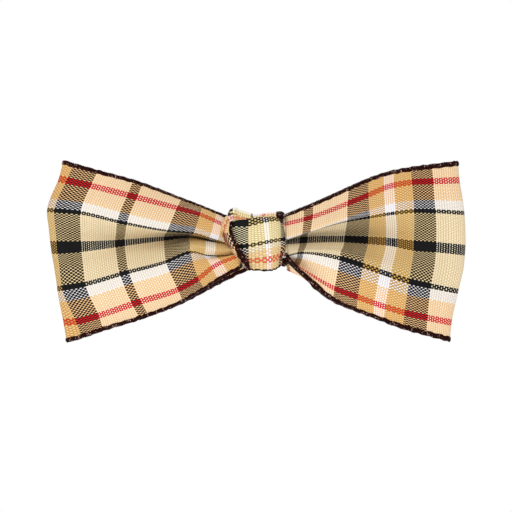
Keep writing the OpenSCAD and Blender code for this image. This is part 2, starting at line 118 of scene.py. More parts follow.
RIGHT_NET = [
    [(54.4, -6, 23.9), (47.0, -8.5, 22.9), (41.3, -9, 22.1), (35.5, -8.5, 21.0),
     (30.1, -8, 19.2), (25.1, -7.5, 17.0), (14.2, -6.5, 12.1), (7.6, -6, 9.4)],
    [(54.8, -6.5, 18.8), (47.3, -9.5, 18.4), (41.6, -10.5, 18.1), (35.4, -11, 16.9),
     (30.0, -11, 14.6), (24.6, -10.5, 12.4), (14.0, -9.3, 8.5), (7.8, -8.6, 6.9)],
    [(55.7, -7, 13.0), (47.6, -10.1, 13.2), (41.9, -12, 13.1), (35.5, -13, 12.1),
     (30.1, -13.3, 10.5), (24.4, -13.0, 8.6), (13.4, -11.3, 4.8), (8.0, -10.0, 3.3)],
    [(56.0, -7, 10.5), (47.8, -10, 10.9), (42.0, -12, 10.9), (35.6, -13, 10.1),
     (30.2, -13.0, 9.1), (24.4, -11.9, 8.0), (13.2, -10.0, 4.7), (8.1, -9.4, 2.9)],
    [(56.4, -6.3, 4.9), (48.2, -8.5, 5.7), (42.3, -9.5, 6.1), (36.2, -9.3, 6.3),
     (30.2, -9, 6.2), (24.2, -8.6, 5.9), (12.8, -7.2, 4.2), (8.1, -6.6, 2.9)],
    [(56.5, -5.6, 1.5), (48.3, -7, 2.3), (42.4, -6.7, 2.7), (36.4, -5.8, 3.4),
     (30.2, -5.2, 3.8), (24.1, -4.8, 4.0), (12.8, -5.0, 3.6), (8.1, -5.4, 2.8)],
    [(56.3, -5.6, -1.6), (48.2, -7.1, -0.7), (42.3, -7, -0.3), (36.3, -6.8, 0.9),
     (30.0, -6.8, 1.5), (23.8, -6.9, 1.9), (12.6, -7.6, 1.7), (8.1, -7.6, 1.4)],
    [(55.8, -6, -5.7), (47.7, -8, -4.6), (41.7, -8.8, -3.5), (35.5, -9, -2.2),
     (29.3, -9.2, -0.8), (23.2, -9.5, 0.3), (12.2, -9.6, 0.4), (8.4, -8.9, 0.2)],
    [(54.9, -6, -9.5), (47.0, -8.7, -8.0), (41.1, -10.1, -6.6), (34.7, -10.8, -4.6),
     (28.7, -11.3, -2.6), (22.6, -11.5, -0.9), (11.9, -10.6, -0.3), (8.4, -9.5, -1.0)],
    [(54.5, -6, -11.2), (46.7, -9, -9.7), (40.8, -10.5, -8.4), (34.4, -11.5, -6.3),
     (28.4, -12, -4.2), (22.4, -12.2, -2.3), (11.8, -10.8, -0.8), (8.4, -9.6, -1.5)],
    [(52.7, -6, -19.5), (45.8, -8.8, -18.1), (39.6, -10, -16.7), (32.9, -11, -14.6),
     (27.1, -11.5, -12.5), (21.1, -11.0, -10.3), (10.6, -7.2, -4.0), (8.2, -6, -2.2)],
    [(52.2, -6, -24.6), (45.5, -8.3, -22.8), (39.2, -9, -21.0), (32.7, -9, -18.6),
     (26.9, -9, -16.4), (20.7, -9, -13.5), (9.7, -10.6, -3.5), (7.6, -10.4, -0.8)]]


def hermite(knots, values, at):
    """A smooth curve through values at the given knots, read at each of the places in at."""
    knots = np.asarray(knots, float)
    values = np.asarray(values, float)
    if knots[0] > knots[-1]:
        knots, values = knots[::-1], values[::-1]
    step = np.diff(knots)[:, None]
    slope = np.diff(values, axis=0) / step
    tangent = np.empty_like(values)
    tangent[0], tangent[-1] = slope[0], slope[-1]
    tangent[1:-1] = (slope[:-1] * step[1:] + slope[1:] * step[:-1]) / (step[1:] + step[:-1])
    i = np.clip(np.searchsorted(knots, at, side="right") - 1, 0, len(knots) - 2)
    h = step[i]
    t = ((np.asarray(at) - knots[i]) / h[:, 0])[:, None]
    a, b = values[i], values[i + 1]
    return ((2 * t**3 - 3 * t**2 + 1) * a + (t**3 - 2 * t**2 + t) * h * tangent[i]
            + (3 * t**2 - 2 * t**3) * b + (t**3 - t**2) * h * tangent[i + 1])


def surface_from_net(net, net_u, net_v, us, vs):
    """Points of the net's smooth surface at every u and v."""
    along = np.stack([hermite(net_u, line, us) for line in net])
    return np.stack([hermite(net_v, along[:, i], vs) for i in range(len(us))])


# ---- Meshes: sheets of cloth made from nets, and cords ----

CELL = 0.55  # distance between two of a loop's points
KNOT_CELL = 0.35  # the same for the waist's and the knot's smaller sheets


def rows(length, cell=CELL):
    """How many points a cell apart lie along a length, its ends among them."""
    return max(2, int(round(abs(length) / cell)) + 1)


def normals(points):
    """The sheet's unit normals, one at each point."""
    across = np.gradient(points, axis=1)
    along = np.gradient(points, axis=0)
    n = np.cross(along, across)
    return n / np.maximum(np.linalg.norm(n, axis=2, keepdims=True), 1e-9)


def make_mesh(name, verts, faces, uvs, material):
    """A smooth mesh object from points in millimetres, with its uvs in a layer called yarns."""
    mesh = bpy.data.meshes.new(name)
    mesh.from_pydata((np.asarray(verts) * MM).tolist(), [], faces)
    layer = mesh.uv_layers.new(name="yarns")
    corners = np.empty(len(mesh.loops), dtype=np.int32)
    mesh.loops.foreach_get("vertex_index", corners)
    layer.data.foreach_set("uv", np.asarray(uvs, np.float32)[corners].ravel())
    mesh.materials.append(material)
    mesh.shade_smooth()
    made = bpy.data.objects.new(name, mesh)
    bpy.context.collection.objects.link(made)
    return made


def quads(index):
    """Faces between neighbours in a grid of point numbers."""
    return np.stack([index[:-1, :-1], index[1:, :-1], index[1:, 1:], index[:-1, 1:]],
                    axis=-1).reshape(-1, 4)


def cloth(name, points, us, vs, material, thick=RIBBON_T):
    """A closed sheet of the given thickness round a grid of points."""
    n = normals(points) * thick / 2
    verts = np.concatenate([(points + n).reshape(-1, 3), (points - n).reshape(-1, 3)])
    u, v = np.meshgrid(us, vs, indexing="ij")
    flat = np.stack([u.ravel(), v.ravel()], axis=1)
    front = np.arange(u.size).reshape(u.shape)
    back = front + u.size
    rim = np.concatenate([front[:, 0], front[-1, 1:], front[-2::-1, -1], front[0, -2::-1]])
    faces = [quads(front), quads(back)[:, ::-1], quads(np.stack([rim + u.size, rim], axis=1))]
    faces = np.concatenate(faces).tolist()
    return make_mesh(name, verts, faces, np.concatenate([flat, flat]), material)


def finer(values, at, new_at):
    """Directions or points known at some places along a path, read at others."""
    return np.stack([np.interp(new_at, at, values[:, k]) for k in range(3)], axis=1)


def tube(name, path, wide, thick, width, height, material, around=12, ridge=0.0):
    """A flat cord along a path; wide and thick are unit vectors across it at each point.
    Width and height are one size or one for each point, and ridge is how far threads stand up."""
    length = np.concatenate([[0], np.cumsum(np.linalg.norm(np.diff(path, axis=0), axis=1))])
    width = np.broadcast_to(width, len(path))
    height = np.broadcast_to(height, len(path))
    if ridge:
        s = np.linspace(0, length[-1], rows(length[-1], THREAD_PITCH / THREAD_STEPS))
        path, wide, thick = (finer(x, length, s) for x in (path, wide, thick))
        width, height = np.interp(s, length, width), np.interp(s, length, height)
        length = s
    turn = np.linspace(0, 2 * math.pi, around, endpoint=False)
    twist = 2 * math.pi * length[:, None] / THREAD_PITCH + turn[None, :]
    swell = 1 + ridge * np.sin(twist)[:, :, None]
    ring = swell * (wide[:, None] * (np.cos(turn)[None, :, None] * width[:, None, None] / 2)
                    + thick[:, None] * (np.sin(turn)[None, :, None] * height[:, None, None] / 2))
    verts = (path[:, None] + ring).reshape(-1, 3)
    index = np.arange(len(path) * around).reshape(len(path), around)
    index = np.concatenate([index, index[:, :1]], axis=1)
    s, t = np.meshgrid(length, turn / (2 * math.pi), indexing="ij")
    uvs = np.stack([s.ravel(), t.ravel()], axis=1)
    ends = np.concatenate([verts, path[[0, -1]]])
    first, last = len(verts), len(verts) + 1
    caps = [[first, int(index[0, k + 1]), int(index[0, k])] for k in range(around)]
    caps += [[last, int(index[-1, k]), int(index[-1, k + 1])] for k in range(around)]
    faces = quads(index).tolist() + caps
    uvs = np.concatenate([uvs, [[0, 0], [length[-1], 0]]])
    return make_mesh(name, ends, faces, uvs, material)


# ---- Materials ----


def linear(c):
    """A colour as the shader takes it, from the usual 0 to 1 screen values."""
    return tuple(x / 12.92 if x <= 0.04045 else ((x + 0.055) / 1.055) ** 2.4 for x in c) + (1,)


class Graph:
    """A material's nodes, added one after another."""

    def __init__(self, name):
        self.material = bpy.data.materials.new(name)
        self.material.use_nodes = True
        self.nodes = self.material.node_tree.nodes
        self.links = self.material.node_tree.links
        self.surface = self.nodes["Principled BSDF"]

    def put(self, value, socket):
        """Links the socket to another one, or sets its value."""
        if isinstance(value, bpy.types.NodeSocket):
            self.links.new(value, socket)
        else:
            socket.default_value = value

    def math(self, operation, a, b=0.0, c=0.0):
        node = self.nodes.new("ShaderNodeMath")
        node.operation = operation
        self.put(a, node.inputs[0])
        self.put(b, node.inputs[1])
        self.put(c, node.inputs[2])
        return node.outputs[0]

    def uv(self):
        """The place along the ribbon or cord, and the place across or round it."""
        node = self.nodes.new("ShaderNodeUVMap")
        node.uv_map = "yarns"
        split = self.nodes.new("ShaderNodeSeparateXYZ")
        self.links.new(node.outputs[0], split.inputs[0])
        return split.outputs[0], split.outputs[1]

    def stripes(self, at, bands, total):
        """The colour of the band that the count `at` falls in; bands are (upper end, colour)."""
        node = self.nodes.new("ShaderNodeValToRGB")
        node.color_ramp.interpolation = "CONSTANT"
        self.links.new(self.math("DIVIDE", at, total), node.inputs[0])
        stops = node.color_ramp.elements
        start = 0
        for k, (end, colour) in enumerate(bands):
            # A new ramp has two stops already
            stop = stops[k] if k < 2 else stops.new(start / total)
            stop.position = start / total
            stop.color = linear(colour)
            start = end
        return node.outputs[0]

    def mix(self, share, a, b, kind="MIX"):
        node = self.nodes.new("ShaderNodeMix")
        node.data_type = "RGBA"
        node.blend_type = kind
        self.put(share, node.inputs["Factor"])
        self.put(a, node.inputs[6])
        self.put(b, node.inputs[7])
        return node.outputs[2]

    def grey(self, value):
        node = self.nodes.new("ShaderNodeCombineColor")
        for socket in node.inputs[:3]:
            self.put(value, socket)
        return node.outputs[0]

    def brightness(self, colour):
        node = self.nodes.new("ShaderNodeRGBToBW")
        self.links.new(colour, node.inputs[0])
        return node.outputs[0]

    def noise(self, scale, detail=2.0):
        node = self.nodes.new("ShaderNodeTexNoise")
        node.inputs["Scale"].default_value = scale
        node.inputs["Detail"].default_value = detail
        coords = self.nodes.new("ShaderNodeTexCoord")
        self.links.new(coords.outputs["Object"], node.inputs["Vector"])
        return node.outputs[0]

    def random(self, a, b):
        """A fixed random number from 0 to 1 for each pair of whole numbers."""
        pair = self.nodes.new("ShaderNodeCombineXYZ")
        self.put(a, pair.inputs[0])
        self.put(b, pair.inputs[1])
        node = self.nodes.new("ShaderNodeTexWhiteNoise")
        self.links.new(pair.outputs[0], node.inputs["Vector"])
        return node.outputs[0]

    def bump(self, height, distance, strength=1.0):
        node = self.nodes.new("ShaderNodeBump")
        node.inputs["Strength"].default_value = strength
        node.inputs["Distance"].default_value = distance * MM
        self.links.new(height, node.inputs["Height"])
        self.links.new(node.outputs[0], self.surface.inputs["Normal"])

    def set(self, **values):
        """Sets the shader's inputs, whose names are written with underscores for spaces."""
        for name, value in values.items():
            self.put(value, self.surface.inputs[name.replace("_", " ")])


def counted(stripes):
    """Bands by their upper end from bands by their number of yarns."""
    ends, total = [], 0
    for count, colour in stripes:
        total += count
        ends.append((total, colour))
    return ends, total


# A woven yarn's height is a share of its wave, which is 1 from its lowest to its highest point
WARP_ROUND = 0.62  # how much a lengthwise yarn's round section adds to its middle
WEFT_ROUND = 0.5
THICK_SPREAD = 0.1  # how unevenly thick the yarns are
EDGE_SHARPNESS = 13  # how suddenly one yarn's colour gives way to the next one's
YARN_LIGHT = (0.94, 0.05)  # the least light a yarn shows, and how much more by chance
PAINTED_HOLLOW_SHADE = (0.34, 0.8)  # painted shade between the yarns: the colour's brightness in the hollows, and how it grows with height


def yarn_height(g, place, other, other_number, sign, round_by):
    """A yarn's height where it crosses the others: its wave and its own round section."""
    wave = g.math("COSINE", g.math("MULTIPLY", g.math("SUBTRACT", place, 0.5), math.pi))
    flip = g.math("MULTIPLY_ADD", g.math("FLOORED_MODULO", other_number, 2), -2, 1)
    share = g.math("MULTIPLY_ADD", g.math("FRACT", other), 2, -1)
    crown = g.math("SUBTRACT", 1, g.math("MULTIPLY", share, share))
    return g.math("MULTIPLY_ADD", g.math("MULTIPLY", wave, flip), sign,
                  g.math("MULTIPLY", crown, round_by))


def weave(name, warp_stripes, weft_stripes, pitch, dark_lead):
    """Plain-woven ribbon: lengthwise yarns over and under crosswise ones, each in its colour.
    Dark_lead is how much more of each crossing the darker yarn's colour takes over the paler one's."""
    g = Graph(name)
    u, v = g.uv()
    along = g.math("DIVIDE", u, pitch[0])
    across = g.math("DIVIDE", v, pitch[1])
    weft_number = g.math("FLOOR", along)
    warp_number = g.math("FLOOR", across)
    weft_bands, repeat = counted(weft_stripes)
    weft_place = g.math("FLOORED_MODULO", g.math("ADD", weft_number, 0.5), repeat)
    weft_colour = g.stripes(weft_place, weft_bands, repeat)
    warp_place = g.math("ABSOLUTE", g.math("ADD", warp_number, 0.5))
    warp_colour = g.stripes(warp_place, warp_stripes, warp_stripes[-1][0])
    warp_height = yarn_height(g, along, across, warp_number, 0.5, WARP_ROUND)
    weft_height = yarn_height(g, across, along, weft_number, -0.5, WEFT_ROUND)

    dark_warp = g.math("SUBTRACT", g.brightness(weft_colour), g.brightness(warp_colour))
    warp_shade = g.random(warp_number, 0.0)
    weft_shade = g.random(0.0, weft_number)
    thicker = g.math("MULTIPLY", g.math("SUBTRACT", warp_shade, weft_shade), THICK_SPREAD)
    lead = g.math("ADD", thicker, g.math("SUBTRACT", warp_height, weft_height))
    lead = g.math("MULTIPLY_ADD", dark_warp, dark_lead, lead)
    clamp = g.nodes.new("ShaderNodeClamp")
    g.links.new(g.math("MULTIPLY_ADD", lead, EDGE_SHARPNESS, 0.5), clamp.inputs[0])
    colour = g.mix(clamp.outputs[0], weft_colour, warp_colour)

    top = g.math("MAXIMUM", warp_height, weft_height)
    chance = g.math("ADD", warp_shade, weft_shade)
    uneven = g.math("MULTIPLY_ADD", chance, YARN_LIGHT[1], YARN_LIGHT[0])
    # Painted shade: the base colour is darkened in the hollows between the yarns, less towards their
    # crowns, and multiplied by each yarn's random tone
    hollow_shade = g.math("MULTIPLY_ADD", top, PAINTED_HOLLOW_SHADE[1], PAINTED_HOLLOW_SHADE[0])
    shade_and_tone = g.math("MINIMUM", g.math("MULTIPLY", hollow_shade, uneven), 1.0)
    g.set(Base_Color=g.mix(1.0, colour, g.grey(shade_and_tone), "MULTIPLY"), Roughness=0.62)
    g.surface.inputs["Sheen Weight"].default_value = 0.03
    g.surface.inputs["Specular IOR Level"].default_value = 0.15
    g.bump(top, 0.07, 0.7)
    return g.material


GLINT_SCALE = 1300  # how close together a binding's painted glints lie
GLINT_SPREAD = (7, -3.95)  # how clearly they stand out, and how few they are


def thread_wrap(name, colour, glint_colour, pitch):
    """Close turns of thread round an edge or a cord, with painted glints on the crowns of some of
    them.
    """
    g = Graph(name)
    s, t = g.uv()
    turn = g.math("ADD", t, g.math("DIVIDE", s, pitch))
    wave = g.math("SINE", g.math("MULTIPLY", turn, 2 * math.pi))
    high = g.math("MULTIPLY_ADD", wave, 0.5, 0.5)
    painted_glints = g.math("MULTIPLY_ADD", g.noise(GLINT_SCALE), *GLINT_SPREAD)
    painted_glints = g.math("MAXIMUM", painted_glints, 0.0)
    # Painted highlight: the glint colour is mixed into the base colour on the crowns of the turns
    # where the glints fall
    share = g.math("MINIMUM", g.math("MULTIPLY", g.math("MULTIPLY", high, high), painted_glints), 1.0)
    g.set(Base_Color=g.mix(share, linear(colour), linear(glint_colour)), Roughness=0.5)
    g.surface.inputs["Specular IOR Level"].default_value = 0.04
    g.bump(high, 0.09)
    return g.material


ROUGH_SPREAD = 0.18  # how unevenly rough the metals are


def metal(name, colour, rough, grain):
    """Plated or plain steel with a fine uneven finish."""
    g = Graph(name)
    mark = g.noise(grain, 4.0)
    g.set(Base_Color=linear(colour), Metallic=1.0,
          Roughness=g.math("MULTIPLY_ADD", mark, ROUGH_SPREAD, rough - ROUGH_SPREAD / 2))
    g.bump(mark, 0.01, 0.4)
    return g.material


CHECK = weave("check_ribbon", WARP_STRIPES, WEFT_STRIPES, BOW_PITCH, 0.97)
KNOT_CHECK = weave("check_knot", KNOT_WARP, KNOT_WEFT, KNOT_PITCH, 0.8)
# Each cord's second colour is the colour of its painted glints
BOUND = thread_wrap("bound_edge", (0.14, 0.035, 0.025), (0.85, 0.68, 0.62), THREAD_PITCH)
SEWING = thread_wrap("thread", (0.17, 0.08, 0.07), (0.4, 0.3, 0.28), 0.3)
PLATE = metal("clip_plate", (0.80, 0.80, 0.79), 0.30, 900)
STEEL = metal("clip_pin", (0.70, 0.70, 0.71), 0.36, 1400)
SPRING = metal("clip_spring", (0.62, 0.62, 0.64), 0.30, 1400)
WIRE = metal("edge_wire", (0.55, 0.50, 0.45), 0.40, 1400)

for name, material in (("clip_bar", PLATE), ("left_jaw", PLATE), ("right_jaw", PLATE),
                       ("left_pin", STEEL), ("right_pin", STEEL)):
    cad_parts[name].material_slots[0].material = material


def dress(piece, node, with_pieces=()):
    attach(piece, "bow")
    if node:
        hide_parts(node)
    return piece


# ---- The two loops ----

BAR_FRONT = -1.25  # nothing of the bow lies further back than this in front of the clip bar
BAR_HALF = 29.5  # half the length that this holds for
# How far behind its front a loop's back lies: distance from the fold, gap
BACK_GAPS = [(0, 0), (2.6, 3.6), (9, 5.2), (20, 5.0), (31, 3.6), (40, 2.3), (51, 1.0)]
BACK_FOLLOWS = 0.85  # how much of the front's depth the back's folds keep
# How far the back's last two lines hang lower beside the knot: the inner one, the bottom edge
BACK_SAG = {"left": (0, 1.6), "right": (3.2, 0.8)}
SAG_FROM = 26  # distance from the fold where they start to

EDGE_V = 24.9  # where the cloth ends inside its bound edge
BOUND_W = {"left": 1.3, "right": 1.5}  # how wide each loop's bound edges are
BOUND_H = 0.8
RIDGE = 0.09  # how far the turns of thread stand up, as a share of the edge's size
WAVE = 0.1  # how far a bound edge wanders from its line, in one even wave and one that comes and goes
EVEN_RATE = 2.1  # radians of each wave in a millimetre
BROKEN_RATE = 3.3
COMING_RATE = 0.35
BROKEN_SHARE = 0.7  # the second wave's size beside the first one's
WIRE_D = 0.3


def clear_of_bar(points):
    """Points with none of them reaching back into the clip bar."""
    held = np.minimum(points[:, :, 1], BAR_FRONT)
    points[:, :, 1] = np.where(np.abs(points[:, :, 0]) < BAR_HALF, held, points[:, :, 1])
    return points


def loop_net(net, net_u, sag):
    """A whole loop's net from its front's: from the knot to the fold, and back to the waist."""
    from_fold = np.abs(np.array(net_u) - net_u[0])
    length = from_fold[-1]
    gap_places, gap_sizes = zip(*BACK_GAPS)
    gaps = hermite(gap_places, np.array(gap_sizes)[:, None], from_fold)[:, 0]
    front = np.array(net, float)
    back = front[:, 1:].copy()
    fold_y = front[:, :1, 1]
    back[:, :, 1] = fold_y + BACK_FOLLOWS * (back[:, :, 1] - fold_y) + gaps[1:]
    for line, drop in zip((-2, -1), sag):
        back[line, :, 2] -= np.interp(from_fold[1:], [SAG_FROM, length], [0, drop])
    places = np.concatenate([length - from_fold[::-1], length + from_fold[1:]])
    return np.concatenate([front[:, ::-1], clear_of_bar(back)], axis=1), places


def make_loop(side, net, net_u):
    """One loop: its points, its places along the ribbon and across it."""
    whole, places = loop_net(net, net_u, BACK_SAG[side])
    along = np.linspace(0, places[-1], rows(places[-1]))
    vs = np.linspace(EDGE_V, -EDGE_V, rows(2 * EDGE_V))
    points = clear_of_bar(surface_from_net(whole, places, LINES_V, along, vs))
    direction = 1 if net_u[0] > net_u[-1] else -1
    return points, net_u[-1] + direction * along, vs


def edge_frame(points, row):
    """An edge's path, with the directions across the cloth and through it."""
    n = normals(points)[:, row]
    path = points[:, row]
    ahead = np.gradient(path, axis=0)
    ahead /= np.linalg.norm(ahead, axis=1, keepdims=True)
    wide = np.cross(ahead, n)
    wide /= np.linalg.norm(wide, axis=1, keepdims=True)
    s = np.arange(len(path)) * CELL
    broken = BROKEN_SHARE * np.sin(s * BROKEN_RATE + 2) * np.sin(s * COMING_RATE)
    wave = WAVE * (np.sin(s * EVEN_RATE + row) + broken)
    return path + wide * wave[:, None], wide, n


def bind_edge(side, end, points, row):
    """One of a loop's long edges: the thread that binds it and the wire inside."""
    path, wide, thick = edge_frame(points, row)
    edge = side + "_" + end
    bound = tube(edge + "_binding", path, wide, thick, BOUND_W[side], BOUND_H, BOUND, ridge=RIDGE)
    core = tube(edge + "_core", path, wide, thick, WIRE_D, WIRE_D, WIRE, around=6)
    return [dress(bound, edge + "_edge"), dress(core, edge + "_wire")]


for side, net, net_u in (("left", LEFT_NET, LEFT_U), ("right", RIGHT_NET, RIGHT_U)):
    points, us, vs = make_loop(side, net, net_u)
    wing = cloth(side + "_loop", points, us, vs, CHECK)
    edges = bind_edge(side, "top", points, 0) + bind_edge(side, "bottom", points, -1)
    dress(wing, side + "_wing",
          edges)

# ---- The pinched waist under the knot ----

# Depth of each warp line where the thread gathers the ribbon, top edge first
PLEAT_Y = [-4.0, -8.8, -5.0, -3.2, -8.8, -5.2, -8.9, -5.4, -8.0, -9.0, -3.2, -8.4]
PLEAT_SHARES = (0.3, 0.5, 0.7)  # how far across the waist the pleats are set
WAIST_TOP = 6
WAIST_BOTTOM = -3
WAIST_FRONT = -9.2
WAIST_BACK = BAR_FRONT - 0.3
WAIST_U = LEFT_U[-1] + (RIGHT_U[-1] - LEFT_U[-1]) * np.array([0, *PLEAT_SHARES, 1])
PLY_GAP = 1.0  # between the waist's two plies


def waist_net(behind):
    """Warp lines under the knot, from the left loop to the right one, in tight pleats between."""
    left = np.array(LEFT_NET, float)[:, -1]
    right = np.array(RIGHT_NET, float)[:, -1]
    columns = [left]
    for share in PLEAT_SHARES:
        column = left + share * (right - left)
        column[:, 1] = PLEAT_Y
        column[:, 2] = np.linspace(WAIST_TOP, WAIST_BOTTOM, len(column))
        columns.append(column)
    net = np.stack(columns + [right], axis=1)
    net[:, :, 1] = np.clip(net[:, :, 1] + behind, WAIST_FRONT, WAIST_BACK)
    return net


def net_cloth(name, net, net_u, net_v, material):
    """A sheet through a net of points, with the ribbon's places along and across it."""
    us = np.linspace(net_u[0], net_u[-1], rows(net_u[-1] - net_u[0], KNOT_CELL))
    vs = np.linspace(net_v[0], net_v[-1], rows(net_v[-1] - net_v[0], KNOT_CELL))
    points = surface_from_net(net, net_u, net_v, us, vs)
    return cloth(name, points, us, vs, material), points


for name, node, behind in (("waist_front", "bow_waist", 0.0), ("waist_back", None, PLY_GAP)):
    waist, _ = net_cloth(name, waist_net(behind), WAIST_U, LINES_V, CHECK)
    dress(waist, node)

# ---- The knot ----

# The front band and its roll over the top: places across the ribbon, then along it, and the
# points where those lines cross
BAND_V = [7, 3.6, 0.7, 0, -3.5, -7.0, -9.2, -10.6, -12.9]
BAND_U = [0.17, 2.3, 4.62, 8.0, 12.3, 14.2, 16.8]
BAND_NET = [
    [(-6.0, -3.4, 7.2), (-4.4, -3.6, 7.2), (-2.4, -3.8, 7.2), (1.5, -3.8, 7.3),
     (5.2, -3.6, 7.4), (6.2, -3.2, 7.2), (6.5, -2.6, 6.8)],
    [(-6.2, -6.6, 8.1), (-4.5, -6.8, 8.1), (-2.4, -7.0, 8.1), (1.5, -7.0, 8.3),
     (5.3, -6.4, 8.6), (6.4, -5.2, 8.3), (6.7, -3.2, 7.9)],
    [(-6.5, -9.5, 8.3), (-4.6, -9.9, 8.4), (-2.4, -10.1, 8.4), (1.5, -10.1, 8.75),
     (5.4, -9.3, 9.05), (6.5, -7.6, 8.8), (6.9, -4.0, 8.2)],
    [(-6.9, -9.9, 7.4), (-4.7, -10.5, 7.45), (-2.35, -10.8, 7.45), (1.6, -10.8, 8.1),
     (5.7, -10.0, 8.4), (6.75, -8.2, 7.8), (7.2, -4.4, 7.0)],
    [(-6.9, -10.2, 4.2), (-4.7, -11.1, 4.1), (-2.35, -11.6, 4.0), (2.0, -11.9, 5.0),
     (6.1, -11.0, 5.7), (7.3, -8.9, 5.4), (7.5, -4.6, 5.0)],
    [(-6.3, -9.9, 1.3), (-4.6, -11.0, 0.8), (-2.3, -11.7, 0.95), (2.3, -12.0, 1.85),
     (6.1, -11.2, 2.55), (7.6, -9.1, 2.8), (7.7, -4.6, 2.8)],
    [(-5.2, -9.6, -1.2), (-3.8, -10.8, -1.7), (-2.2, -11.5, -1.5), (2.5, -11.9, -0.55),
     (6.1, -11.1, 0.3), (7.5, -9.0, 0.7), (7.6, -4.5, 0.7)],
    [(-3.9, -9.2, -3.2), (-3.1, -10.3, -3.2), (-2.15, -11.1, -3.1), (2.65, -11.5, -3.05),
     (5.8, -10.7, -2.2), (6.8, -8.7, -1.6), (6.95, -4.4, -1.6)],
    [(-2.9, -8.6, -5.2), (-2.5, -9.5, -5.2), (-1.9, -10.0, -5.2), (2.65, -10.3, -5.5),
     (5.5, -9.5, -4.75), (6.45, -7.8, -4.0), (6.5, -4.2, -3.9)]]
BAND_HEM = [0.45, 0.45]  # a bound edge's widths, set evenly along it

# The turn round the band's left end, from its selvedge outwards
TURN_V = [12.9, 12.0, 10.4, 9.2, 6.5, 4.0]
TURN_U = [4.5, 6.4, 8.2, 9.5, 10.6, 12.1, 13.9, 16.0, 18.6, 20.8, 22.6, 24.3]
TURN_NET = [
    [(-2.7, -9.2, 7.6), (-4.6, -9.3, 7.6), (-6.2, -9.9, 7.6), (-6.95, -11.0, 7.4),
     (-7.15, -11.4, 6.5), (-7.15, -11.6, 5.1), (-6.5, -11.9, 3.3), (-5.7, -12.0, 1.4),
     (-4.7, -12.0, -0.9), (-3.5, -11.8, -2.8), (-2.7, -11.4, -4.1), (-2.0, -10.8, -5.4)],
    [(-2.7, -9.9, 8.1), (-4.6, -10.0, 8.1), (-6.5, -10.5, 8.15), (-7.4, -11.0, 7.6),
     (-7.85, -11.3, 6.45), (-8.1, -11.5, 5.0), (-7.7, -11.7, 3.3), (-6.9, -11.8, 1.4),
     (-5.4, -11.7, -1.0), (-4.0, -11.5, -2.9), (-3.0, -11.1, -4.2), (-2.1, -10.6, -5.45)],
    [(-2.7, -10.3, 8.4), (-4.6, -10.5, 8.5), (-6.6, -10.7, 8.55), (-7.7, -10.7, 7.7),
     (-8.3, -10.9, 6.4), (-8.7, -10.9, 5.0), (-8.55, -11.0, 3.4), (-7.5, -11.0, 1.5),
     (-5.9, -10.8, -0.9), (-4.4, -10.6, -2.7), (-3.2, -10.3, -4.3), (-2.2, -10.0, -5.45)],
    [(-2.7, -10.0, 8.7), (-4.6, -9.9, 9.25), (-6.7, -9.7, 9.6), (-8.3, -9.5, 8.8),
     (-9.15, -9.4, 7.3), (-9.45, -9.5, 5.5), (-9.25, -9.6, 3.6), (-8.1, -9.6, 1.5),
     (-6.25, -9.5, -0.9), (-4.65, -9.3, -2.7), (-3.3, -9.1, -4.35), (-2.3, -8.9, -5.4)],
    [(-2.8, -8.4, 8.3), (-4.6, -7.8, 9.0), (-6.2, -7.4, 9.3), (-7.7, -7.1, 8.4),
     (-8.8, -6.9, 7.0), (-9.1, -6.8, 5.4), (-8.9, -6.8, 3.6), (-7.8, -6.8, 1.6),
     (-6.0, -6.9, -0.6), (-4.4, -7.1, -2.3), (-3.2, -7.3, -3.9), (-2.6, -7.4, -4.9)],
    [(-2.9, -6.8, 7.9), (-4.4, -6.0, 8.3), (-5.8, -5.5, 8.4), (-7.0, -5.2, 7.7),
     (-7.8, -5.0, 6.6), (-8.0, -4.9, 5.2), (-7.8, -4.9, 3.7), (-6.9, -5.0, 2.0),
     (-5.5, -5.3, 0.0), (-4.1, -5.6, -1.7), (-3.1, -5.9, -3.3), (-2.6, -6.1, -4.3)]]
TURN_HEM = [0.5, 0.5, 0.6, 0.8, 0.8, 0.8, 0.9, 1.5, 2.0, 2.0, 1.6, 1.0]

# Behind the waist, where the tails reach the back wrap
BACK_Y = 0.45
BACK_TOP = 7.6
BACK_BOTTOM = -4.2

# The upper tail is folded along the middle of the ribbon and goes over the top. Each of its
# lines: x, height of its front crease, height of its crest
TOP_LINES = [(-7.8, 9.2, 9.8), (-7.4, 9.5, 10.8), (-6.7, 9.75, 11.2), (-4.7, 9.2, 10.75),
             (-2.6, 8.5, 10.1), (-1.7, 8.4, 9.8), (-1.1, 8.4, 9.7), (0.9, 8.5, 9.65),
             (1.4, 8.6, 9.7), (2.3, 8.7, 9.85), (4.3, 8.9, 10.05), (6.2, 8.6, 10.0)]
# The lines' places across the ribbon, left to right, and their points' places along it
TOP_V = [0.3, 0.6, 0.9, 2.6, 5.0, 6.2, 7.3, 8.9, 10.0, 10.9, 12.1, 12.9]
TOP_U = [7.2, 8.2, 10.0, 12.3, 14.9, 16.7, 18.3]
TOP_FRONT = -10.2  # depth of the front crease
TOP_RISE = (-9.4, 0.7)  # depth of the next point, and its share of the way up to the crest
# Depth of the points behind that, and how far below the crest they lie
TOP_SIDE = [(-7.4, 0.0), (-4.2, 0.1), (-1.6, 0.5), (0.1, 1.3)]
TOP_NARROWS = 0.92  # its width at the back, as a share of that at the front
TOP_HEM = [2.3, 2.0, 0.9, 0.6]
TOP_HEM_H = [1.0]

# The lower tail goes under the waist. Each of its lines' x and lowest height, left to right
BOTTOM_LOW = [(-4.4, -4.2), (-2.2, -4.9), (0, -5.1), (3.6, -4.7), (7.5, -3.6)]
TAIL_V = [0, 3.2, 6.4, 9.6, 12.8]
BOTTOM_U = [0, 1.6, 4.4, 7.4, 9.8, 11.2, 12.4]
